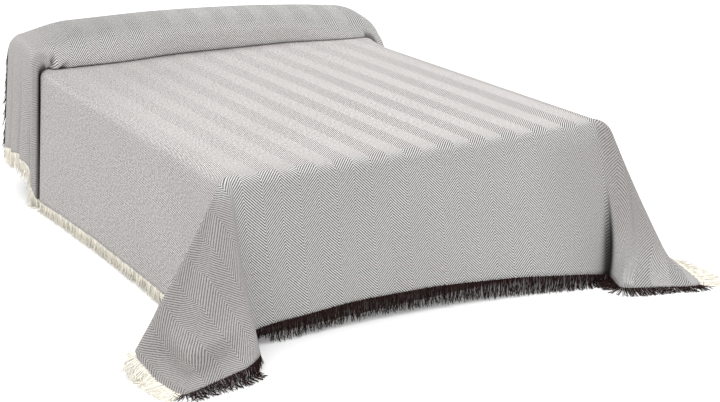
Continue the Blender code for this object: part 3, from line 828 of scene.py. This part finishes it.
def makeWovenCloth(group):
    material, tree, shader = newTree("wovenCloth")
    flat = flatMap(tree)
    pattern = placed(tree, group, flat, {
        "Column Width": weave["columnWidth"], "Column Start": weave["columnStart"],
        "Line Step": weave["lineStep"], "Fleck Scale": weave["fleckScale"],
    })
    shape = tree.nodes.new("ShaderNodeNewGeometry")
    upward = split(tree, shape.outputs["Normal"])["Z"]
    level = spread(tree, upward, 0.55, 0.95)
    place = split(tree, flat)
    across, along = place["X"], place["Y"]
    ear, crease = (pointMark(tree, title) for title in ("ear", "crease"))

    def speck(value, tone):
        return spread(tree, value, 0.30, 0.70, -weave[tone], weave[tone])

    stretched = tree.nodes.new("ShaderNodeVectorMath")
    stretched.operation = "MULTIPLY"
    tree.links.new(flat, stretched.inputs[0])
    stretched.inputs[1].default_value = weave["mottle"]
    onBed = times(tree, spread(tree, along, -0.1, 0.3, 0.15, 1.0), spread(tree, along, 1.72, 1.82, 1.0, 0.25))
    mottle = times(tree, speck(grain(tree, stretched.outputs[0], 1.0, 1.0), "mottleTone"), onBed)
    slubs = speck(grain(tree, flat, weave["slubScale"], 1.0), "slubTone")
    specks = sums(tree, "ADD", speck(pattern["Flecks"], "fleckTone"), slubs)
    specks = sums(tree, "ADD", specks, mottle)
    # painted sheen: columns leaning one way are painted a little lighter where the cloth lies level, least
    # near the head
    clear = times(tree, spread(tree, along, 1.7, 0.6, 0.45, 1.0), spread(tree, across, -0.7, 0.2, 0.35, 1.0))
    strength = times(tree, times(tree, level, clear), weave["columnSheen"])
    sheenStep = times(tree, sums(tree, "SUBTRACT", pattern["Column"], 0.5), strength)
    lines = sums(tree, "SUBTRACT", spread(tree, pattern["Lines"], 0.30, 0.70), 0.5)
    contrast = spread(tree, ear, 0.0, 0.8, weave["contrast"], weave["contrast"] * weave["earContrast"])
    # the drop at the bolster's left end is seen almost edge-on, where fine lines merge
    merged = times(tree, spread(tree, across, -0.66, -0.76), spread(tree, along, 1.66, 1.74))
    contrast = times(tree, contrast, spread(tree, merged, 0.0, 1.0, 1.0, weave["dropContrast"]))
    share = sums(tree, "MULTIPLY_ADD", lines, contrast, sums(tree, "ADD", specks, sheenStep))
    share = sums(tree, "ADD", share, weave["middle"])
    colour = blendColour(tree, share, weave["dark"], weave["light"])
    shade = spread(tree, grain(tree, flat, 3.2, 2.0), 0.2, 0.8, 0.975, 1.025)
    # painted shade over the foot's face and the ears, fading out just onto the top past the foot's bend
    shade = times(tree, shade, spread(tree, along, -0.04, 0.10, weave["footShade"], 1.0))
    # painted shade on the long sides' falls
    outward = spread(tree, sums(tree, "ABSOLUTE", across), 0.70, 0.82, 1.0, weave["sideShade"])
    shade = times(tree, shade, outward)
    # painted light and shade on the filled bolster: faces turned up are darkened and faces turned to the side
    # and down lightened, so it looks lit more evenly than the flat top
    onBolster = times(tree, spread(tree, across, -0.74, -0.66), spread(tree, across, 1.00, 0.80))
    onBolster = times(tree, spread(tree, along, 1.755, 1.785), onBolster)
    bolsterPaintedLight = spread(tree, upward, 0.0, 0.9, weave["bolsterLow"], weave["bolsterHigh"])
    bolsterPaintedLight = times(tree, bolsterPaintedLight, spread(tree, upward, -0.40, 0.10, weave["bolsterFoot"], 1.0))
    bolsterPaintedLight = sums(tree, "MULTIPLY_ADD", sums(tree, "SUBTRACT", bolsterPaintedLight, 1.0), onBolster, 1.0)
    shade = times(tree, shade, bolsterPaintedLight)
    # painted shade: the bed's top greys a little towards the head's left corner; the drop at the bolster's
    # left end, the ears, most where they lie down, and the creases are darkened too
    corner = times(tree, spread(tree, across, 0.25, -0.65), spread(tree, along, 0.5, 1.6))
    for where, low in ((times(tree, corner, level), "headShade"), (merged, "dropShade"),
                       (times(tree, level, ear), "lyingShade"), (ear, "earShade"), (crease, "creaseShade")):
        shade = times(tree, shade, spread(tree, where, 0.0, 1.0, 1.0, weave[low]))
    # painted light: over the foot and the bolster the cloth is tinted a more neutral grey than on the top
    overFoot = times(tree, spread(tree, along, 0.03, -0.04), spread(tree, ear, 0.8, 0.3))
    cooler = spread(tree, sums(tree, "MAXIMUM", overFoot, onBolster), 0.0, 1.0, 1.0, weave["cooler"])
    cooler = times(tree, shade, cooler)
    colour = blendColour(tree, 1.0, colour, tinted(tree, shade, cooler, cooler), "MULTIPLY")
    coloured(tree, shader, colour, weave["roughness"], shine=0.2)
    bumped(tree, shader, pattern["Height"], weave["bump"], weave["bumpDepth"])
    return material


# yarn in strands: its flat map holds a number for each strand and the way along it
def yarnGroup():
    tree, given, result = groupTree("yarnStrands", [
        ("Strand", "NodeSocketVector", (0, 0, 0)), ("Low", "NodeSocketFloat", 0.8),
        ("High", "NodeSocketFloat", 1.1),
    ], [("Tone", "NodeSocketFloat"), ("Twist", "NodeSocketFloat")])
    strand = split(tree, given.outputs["Strand"])
    tone = tree.nodes.new("ShaderNodeMapRange")
    tree.links.new(strand["X"], tone.inputs["Value"])
    tree.links.new(given.outputs["Low"], tone.inputs["To Min"])
    tree.links.new(given.outputs["High"], tone.inputs["To Max"])
    twist = sums(tree, "SINE", times(tree, strand["Y"], 130.0))
    twist = sums(tree, "MULTIPLY_ADD", twist, 0.5, 0.5)
    shaded = times(tree, tone.outputs["Result"], sums(tree, "MULTIPLY_ADD", twist, 0.12, 0.90))
    tree.links.new(shaded, result.inputs["Tone"])
    tree.links.new(twist, result.inputs["Twist"])
    return tree


yarn = {
    "creamYarn": {"colour": (0.88, 0.842, 0.742, 1), "low": 0.80, "high": 1.18},
    "darkYarn": {"colour": (0.021, 0.0105, 0.0095, 1), "low": 0.4, "high": 1.8},
}


def makeYarn(name, look, group):
    material, tree, shader = newTree(name)
    tones = placed(tree, group, flatMap(tree), {"Low": look["low"], "High": look["high"]})
    tone = tones["Tone"]
    colour = blendColour(tree, 1.0, look["colour"], tinted(tree, tone, tone, tone), "MULTIPLY")
    coloured(tree, shader, colour, roughness=0.85, shine=0.06)
    bumped(tree, shader, tones["Twist"], strength=0.4, distance=0.0005)
    return material


# fine close weave for the bed's own cloths, with an optional stripe
def closeWeaveGroup():
    tree, given, result = groupTree("closeWeave", [
        ("Place", "NodeSocketVector", (0, 0, 0)), ("Thread", "NodeSocketFloat", 900.0),
        ("Stripe Step", "NodeSocketFloat", 0.03), ("Stripe Share", "NodeSocketFloat", 0.0),
    ], [("Threads", "NodeSocketFloat"), ("Stripe", "NodeSocketFloat")])
    place = split(tree, given.outputs["Place"])
    thread = given.outputs["Thread"]
    warp, weft, height = (sums(tree, "SINE", times(tree, place[axis], thread)) for axis in "XYZ")
    threads = sums(tree, "ADD", sums(tree, "ADD", warp, weft), height)
    threads = sums(tree, "MULTIPLY_ADD", threads, 0.17, 0.5)
    beat = sums(tree, "FRACT", sums(tree, "DIVIDE", place["X"], given.outputs["Stripe Step"]))
    stripe = sums(tree, "LESS_THAN", beat, given.outputs["Stripe Share"])
    tree.links.new(threads, result.inputs["Threads"])
    tree.links.new(stripe, result.inputs["Stripe"])
    return tree


bedCloths = {
    "ticking": {"colour": (0.80, 0.79, 0.76, 1), "stripe": (0.66, 0.67, 0.69, 1), "share": 0.16,
                "step": 0.035, "thread": 4200.0},
    "baseCloth": {"colour": (0.30, 0.29, 0.28, 1), "stripe": (0.27, 0.26, 0.25, 1), "share": 0.5,
                  "step": 0.003, "thread": 2600.0},
}


def makeBedCloth(name, look, group):
    material, tree, shader = newTree(name)
    place = tree.nodes.new("ShaderNodeTexCoord").outputs["Object"]
    pattern = placed(tree, group, place, {
        "Thread": look["thread"], "Stripe Step": look["step"], "Stripe Share": look["share"],
    })
    colour = blendColour(tree, pattern["Stripe"], look["colour"], look["stripe"])
    cloudy = spread(tree, grain(tree, place, 6.0, 3.0), 0.2, 0.8, 0.94, 1.04)
    colour = blendColour(tree, 1.0, colour, tinted(tree, cloudy, cloudy, cloudy), "MULTIPLY")
    coloured(tree, shader, colour, roughness=0.88)
    bumped(tree, shader, pattern["Threads"], strength=0.3, distance=0.0006)
    return material


top, falls, earCount, rows = clothNet()
spreadPiece = makeBedspread(top, falls, earCount)
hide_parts("bedspread")
print("bedspread made")

rowCount = len(rows)
tipLeft = rowCount + ears["falls"] - 1
tipRight = rowCount + earCount + len(top[0]) + earCount - ears["falls"]
hem = [flow[-1] for flow in falls]
inner = [flow[-2] for flow in falls]
headEdge = falls[-1][:0:-1] + top[-1][::-1] + falls[0][1:]
headInner = falls[-2][:0:-1] + top[-2][::-1] + falls[1][1:]
footPart = slice(tipLeft, tipRight + 1)
# the hem each fringe hangs from, its kind, its node, and how long its lying strands are
fringes = {
    "fringeLeft": (hemLine(hem[:tipLeft + 1], inner[:tipLeft + 1]), "side", "fringe_left", 1.38),
    "fringeFoot": (hemLine(hem[footPart], inner[footPart]), "end", "fringe_foot", 0.78),
    "fringeRight": (hemLine(hem[tipRight:], inner[tipRight:]), "side", "fringe_right", 2.35),
    "fringeHead": (hemLine(headEdge, headInner), "end", "fringe_head", 1.0),
}
yarns = yarnGroup()
creamYarn, darkYarn = (makeYarn(name, look, yarns) for name, look in yarn.items())
for seed, (name, (line, kind, node, lying)) in enumerate(fringes.items()):
    piece = makeFringe(name, line, kind, 40 + seed, lying)
    isDark = node in ("fringe_foot", "fringe_head")
    piece.data.materials.append(darkYarn if isDark else creamYarn)
    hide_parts(node)
print("fringes made")


# The filled bolster: even along its middle, and at each end it rounds down a little inside the
# cloth's own turn.
def makeBolster():
    across, endRings = 56, 22
    reach = bolster["reach"] - bolster["slack"]
    rise = bolster["rise"] - bolster["inset"]
    low = bed["top"] - bolster["restGap"]
    stations = []
    for side in (-1, 1):
        flat = bolster["flat"][side] - bolster["endInset"]
        bend = bolster["bend"][side] - bolster["slack"]
        end = []
        for step in range(endRings):
            turn = math.radians(bolster["endTurn"] * step / (endRings - 1))
            x = side * (flat + bend * math.sin(turn))
            full = 1 - bend * (1 - math.cos(turn)) / (2 * rise * crown(x))
            end.append((x, max(full, bolster["endLeast"])))
        stations.append(end)
    middle = [(x, 1.0) for x in spaced(-bolster["flat"][-1], bolster["flat"][1], 40)[1:-1]]
    rings = stations[0][::-1] + middle + stations[1]
    places = []
    for x, full in rings:
        for k in range(across):
            turn = 2 * math.pi * k / across
            pleat = 1 - bolster["pleatDepth"] * (1 - full) * (1 + math.sin(bolster["pleats"] * turn))
            y = bolster["middle"] + math.cos(turn) * math.sqrt(full) * pleat * reach
            places.append(Vector((x, y, low + (1 + math.sin(turn)) * full * pleat * rise * crown(x))))
    return meshPiece("bolsterPillow", places, tubeFaces(len(rings), across))


def makeMattress():
    size = (bed["width"] - 2 * bed["sideClear"], bed["length"] - 2 * bed["sideClear"])
    high = bed["top"] - bed["restGap"]
    low = bed["baseHeight"] + 0.0003
    around = []
    for cornerX, cornerY, first in ((1, 1, 0), (-1, 1, 90), (-1, -1, 180), (1, -1, 270)):
        for step in range(13):
            around.append((cornerX, cornerY, math.radians(first + 90 * step / 12)))
    levels = []
    for step in range(9):
        angle = math.radians(90 * step / 8)
        levels.append((bed["edge"] * (1 - math.sin(angle)), low + bed["edge"] * (1 - math.cos(angle))))
    for step in range(1, 6):
        waist = 0.004 * (0.5 - 0.5 * math.cos(2 * math.pi * step / 6))
        levels.append((waist, between(low, high, between(0.18, 0.82, step / 6))))
    for step in range(9):
        angle = math.radians(90 * (8 - step) / 8)
        levels.append((bed["edge"] * (1 - math.sin(angle)), high - bed["edge"] * (1 - math.cos(angle))))
    places = []
    for inset, z in levels:
        for cornerX, cornerY, angle in around:
            radius = max(bed["corner"] - inset, 0.008)
            x = cornerX * (size[0] / 2 - inset - radius) + radius * math.cos(angle)
            y = cornerY * (size[1] / 2 - inset - radius) + radius * math.sin(angle)
            places.append(Vector((x, y, z)))
    return meshPiece("mattressBody", places, tubeFaces(len(levels), len(around)))


closeWeave = closeWeaveGroup()
ticking, baseCloth = (makeBedCloth(name, look, closeWeave) for name, look in bedCloths.items())
bolsterPiece = makeBolster()
bolsterPiece.data.materials.append(ticking)
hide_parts("bolster")
mattressPiece = makeMattress()
mattressPiece.data.materials.append(ticking)
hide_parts("mattress")
base = frame["nodes"]["bed_base"]
for slot in base.material_slots:
    slot.material = baseCloth
spreadPiece.data.materials.append(makeWovenCloth(herringboneGroup()))
print("bed made")

# floor, light and camera
studio = {
    "world": 1.0, "sunStrength": 2.1, "sunAngle": 75, "sunFrom": (-0.12, 0.06, 1.0),
    "floor": 0.80, "floorGlow": 0.16, "cameraPlace": (-2.414, -4.565, 1.786),
    "yaw": 31.231, "pitch": 18.294, "roll": 0.7, "lens": 66.859,
}
floorMaterial, floorTree, floorShader = newTree("floorPaint")
floorPlace = floorTree.nodes.new("ShaderNodeTexCoord").outputs["Object"]
paint = grain(floorTree, floorPlace, 1.5)
paint = spread(floorTree, paint, 0.0, 1.0, studio["floor"] - 0.005, studio["floor"] + 0.005)
coloured(floorTree, floorShader, tinted(floorTree, paint, paint, paint), roughness=1.0, shine=0.0)
floorSeen = floorTree.nodes.new("ShaderNodeLightPath").outputs["Is Camera Ray"]
floorGlow = times(floorTree, floorSeen, studio["floorGlow"])
floorTree.links.new(floorGlow, floorShader.inputs["Emission Strength"])
floorShader.inputs["Emission Color"].default_value = (1, 1, 1, 1)
floorMesh = bpy.data.meshes.new("studioFloor")
floorCorners = [(x, y, -0.0002) for x, y in ((-30, -30), (30, -30), (30, 30), (-30, 30))]
floorMesh.from_pydata(floorCorners, [], [(0, 1, 2, 3)])
floorPiece = bpy.data.objects.new("studioFloor", floorMesh)
floorMesh.materials.append(floorMaterial)
bpy.context.scene.collection.objects.link(floorPiece)

world = bpy.data.worlds.new("studioWorld")
world.use_nodes = True
world.node_tree.nodes["Background"].inputs["Color"].default_value = (1, 1, 1, 1)
world.node_tree.nodes["Background"].inputs["Strength"].default_value = studio["world"]
bpy.context.scene.world = world
sun = bpy.data.lights.new("softSun", "SUN")
sun.energy = studio["sunStrength"]
sun.angle = math.radians(studio["sunAngle"])
sunPiece = bpy.data.objects.new("softSun", sun)
sunPiece.rotation_euler = Vector(studio["sunFrom"]).to_track_quat("Z", "Y").to_euler()
bpy.context.scene.collection.objects.link(sunPiece)

yaw, pitch, roll = (math.radians(studio[key]) for key in ("yaw", "pitch", "roll"))
forward = Vector((math.sin(yaw) * math.cos(pitch), math.cos(yaw) * math.cos(pitch), -math.sin(pitch)))
levelRight = Vector((math.cos(yaw), -math.sin(yaw), 0))
levelUp = levelRight.cross(forward)
right = levelRight * math.cos(roll) + levelUp * math.sin(roll)
up = levelUp * math.cos(roll) - levelRight * math.sin(roll)
lens = bpy.data.cameras.new("studioCamera")
lens.lens = studio["lens"]
lens.sensor_width = 36
lens.clip_end = 100
cameraPiece = bpy.data.objects.new("studioCamera", lens)
turned = Matrix((right, up, -forward)).transposed().to_4x4()
cameraPiece.matrix_world = Matrix.Translation(studio["cameraPlace"]) @ turned
bpy.context.scene.collection.objects.link(cameraPiece)
bpy.context.scene.camera = cameraPiece
bpy.context.scene.view_settings.view_transform = "Standard"

print("scene ready")
